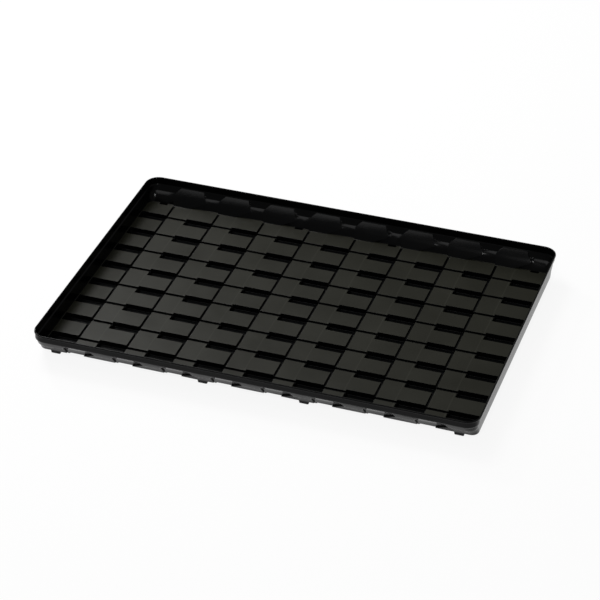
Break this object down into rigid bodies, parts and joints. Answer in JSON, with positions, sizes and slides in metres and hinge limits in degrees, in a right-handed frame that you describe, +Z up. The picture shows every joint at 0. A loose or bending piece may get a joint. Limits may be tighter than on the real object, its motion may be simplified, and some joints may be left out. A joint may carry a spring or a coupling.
{
  "type": "plastic tray",
  "caption": "Shallow rectangular thermoformed plastic tray with steep ribbed walls, a slotted floor and fine drain channels between the slots.",
  "frame": {"origin": "under the middle of the tray, in the plane of the slot bottoms that it stands on", "axes": "+X along the long side, +Y along the short side, +Z up out of the tray"},
  "size_m": [0.56, 0.4, 0.036],
  "materials": {
    "tray_plastic": "black sheet, glossy on the walls and satin on the floor panels"
  },
  "bodies": {
    "root": {"tray": "tray_plastic"}
  },
  "joints": []
}
